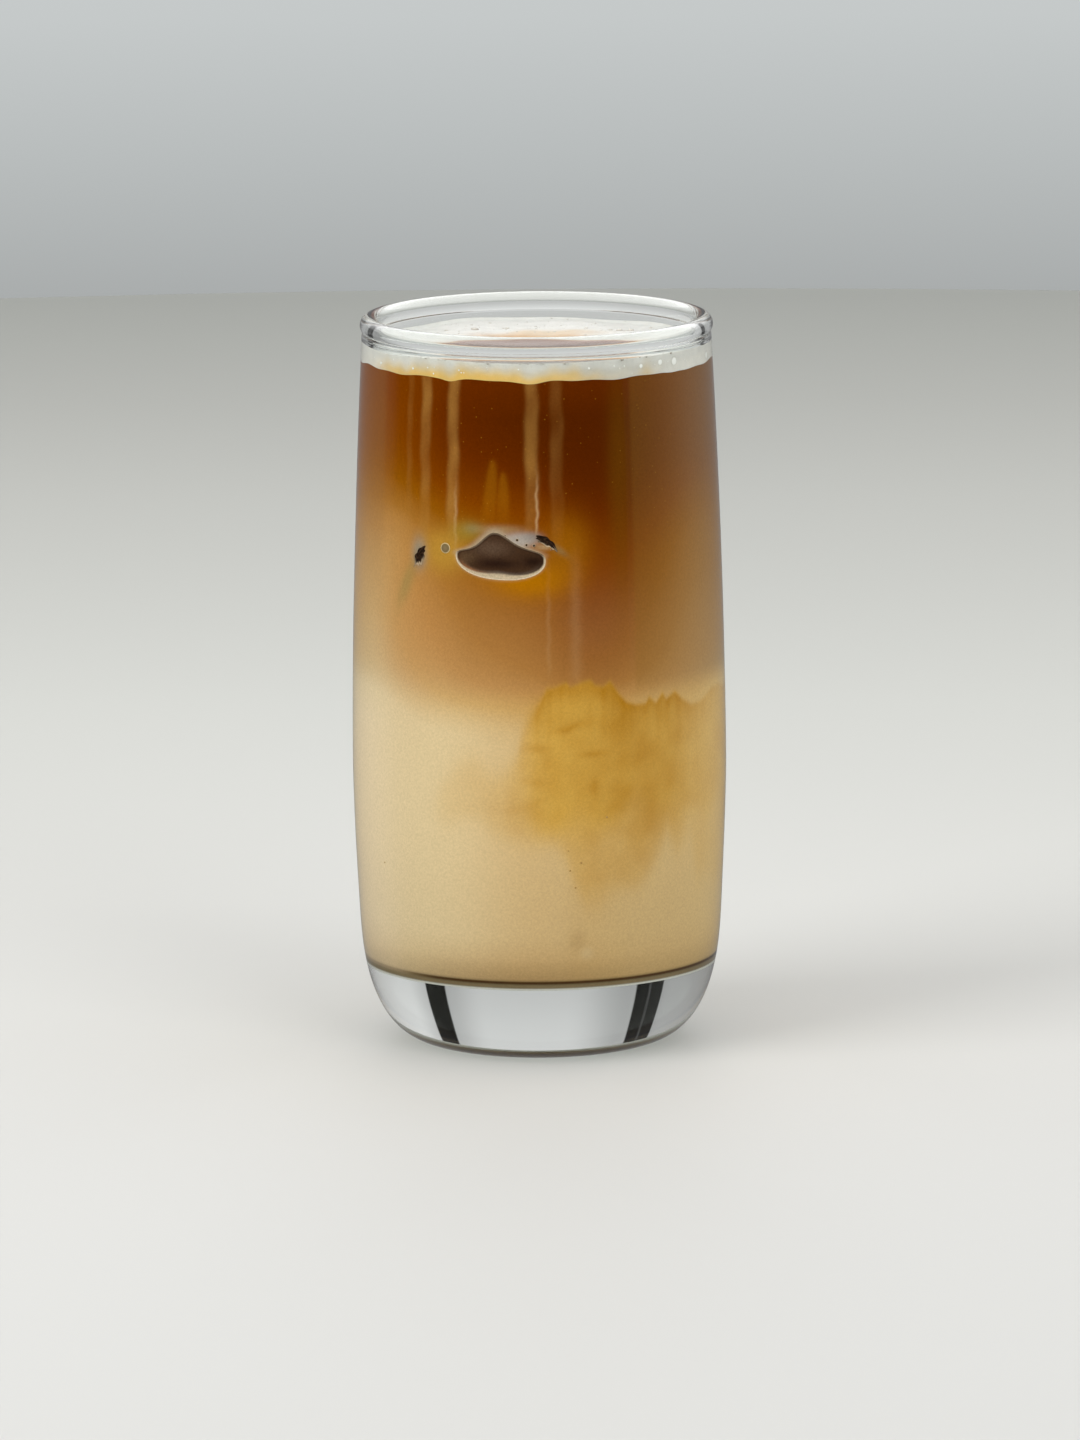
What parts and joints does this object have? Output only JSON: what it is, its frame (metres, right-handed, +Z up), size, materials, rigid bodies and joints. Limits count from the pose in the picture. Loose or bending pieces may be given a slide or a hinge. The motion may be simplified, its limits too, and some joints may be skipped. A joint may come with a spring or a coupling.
{
  "type": "glass of iced espresso",
  "caption": "Tall barrel-shaped tumbler of iced espresso over milk, with white foam round a dark pool and an ice cube against the wall.",
  "frame": {"origin": "centre of the glass's flat foot, on the table", "axes": "+Z up along the glass's axis; -Y is the front, where the ice cube presses on the wall; +X is to the right seen from the front"},
  "size_m": [0.069, 0.069, 0.135],
  "materials": {
    "clear_glass": "clear polished soda-lime glass",
    "milk": "wet cream-coloured milk with a little coffee in it",
    "espresso": "wet amber-brown coffee, darker at the top",
    "foam": "fine white milk foam with small bubbles",
    "ice": "clear wet ice in dark coffee"
  },
  "bodies": {
    "root": {"glass": "clear_glass", "milk": "milk", "coffee": "espresso", "foam": "foam", "ice_cube": "ice"}
  },
  "joints": []
}
